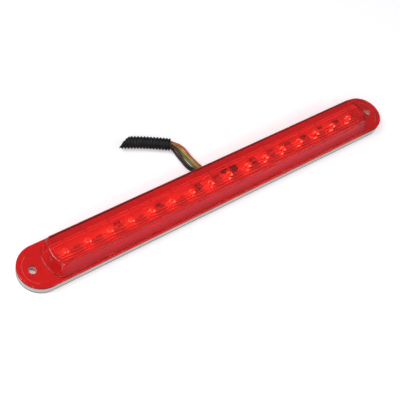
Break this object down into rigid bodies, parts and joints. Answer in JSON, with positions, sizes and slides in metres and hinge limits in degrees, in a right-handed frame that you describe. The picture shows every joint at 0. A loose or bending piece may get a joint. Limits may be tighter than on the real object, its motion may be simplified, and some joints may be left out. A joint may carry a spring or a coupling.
{
  "type": "third brake light",
  "caption": "Long slim red LED brake light: clear red lens on a pale tray with round ears, a slot in each ear, foam gasket, and a short wire lead in split conduit at the rear.",
  "frame": {"origin": "centre of the mounting face, the underside of the foam gasket", "axes": "+X along the lamp, +Y towards the side where the wires leave, +Z out of the lens, away from the vehicle body"},
  "size_m": [0.38, 0.0942, 0.0234],
  "materials": {
    "red_lens": "polished clear red acrylic",
    "lens_seal": "matt moulded rubber cord",
    "tray_plastic": "pale moulded plastic, fine grain",
    "gasket_foam": "closed-cell grey foam",
    "circuit_board": "pale laminate with solder-resist sheen",
    "screw_steel": "zinc-plated, satin",
    "led_epoxy": "polished tinted epoxy",
    "resistor_body": "lacquered, with colour bands",
    "rectifier_body": "moulded epoxy with a pale band",
    "regulator_body": "moulded epoxy, satin",
    "capacitor_sleeve": "shrink sleeve, gloss",
    "tinned_metal": "bright solder and tinned leads",
    "bare_copper": "stranded bare copper",
    "bush_rubber": "matt pale silicone rubber",
    "wire_black": "extruded vinyl insulation",
    "wire_brown": "extruded vinyl insulation",
    "wire_green": "extruded vinyl insulation",
    "wire_yellow": "extruded vinyl insulation",
    "wire_orange": "extruded vinyl insulation",
    "conduit": "corrugated nylon, satin"
  },
  "bodies": {
    "root": {"lens": "red_lens", "lens_seal": "lens_seal", "housing_tray": "tray_plastic", "foam_gasket": "gasket_foam", "circuit_board": "circuit_board", "board_screw_left": "screw_steel", "board_screw_right": "screw_steel", "led_01": "led_epoxy", "led_02": "led_epoxy", "led_03": "led_epoxy", "led_04": "led_epoxy", "led_05": "led_epoxy", "led_06": "led_epoxy", "led_07": "led_epoxy", "led_08": "led_epoxy", "led_09": "led_epoxy", "led_10": "led_epoxy", "led_11": "led_epoxy", "led_12": "led_epoxy", "led_13": "led_epoxy", "led_14": "led_epoxy", "led_15": "led_epoxy", "led_16": "led_epoxy", "resistor_01": "resistor_body", "resistor_02": "resistor_body", "resistor_03": "resistor_body", "resistor_04": "resistor_body", "resistor_05": "resistor_body", "resistor_06": "resistor_body", "resistor_07": "resistor_body", "rectifier_01": "rectifier_body", "rectifier_02": "rectifier_body", "rectifier_03": "rectifier_body", "rectifier_04": "rectifier_body", "rectifier_05": "rectifier_body", "voltage_regulator": "regulator_body", "capacitor": "capacitor_sleeve", "wire_bush": "bush_rubber", "wire_black": "wire_black", "wire_brown": "wire_brown", "wire_green": "wire_green", "wire_yellow": "wire_yellow", "wire_orange": "wire_orange", "wire_tail_01": "bare_copper", "wire_tail_02": "bare_copper", "wire_tail_03": "bare_copper", "wire_tail_04": "bare_copper", "wire_tail_05": "bare_copper", "solder_joint_01": "tinned_metal", "solder_joint_02": "tinned_metal", "solder_joint_03": "tinned_metal", "solder_joint_04": "tinned_metal", "solder_joint_05": "tinned_metal", "split_conduit": "conduit"}
  },
  "joints": []
}
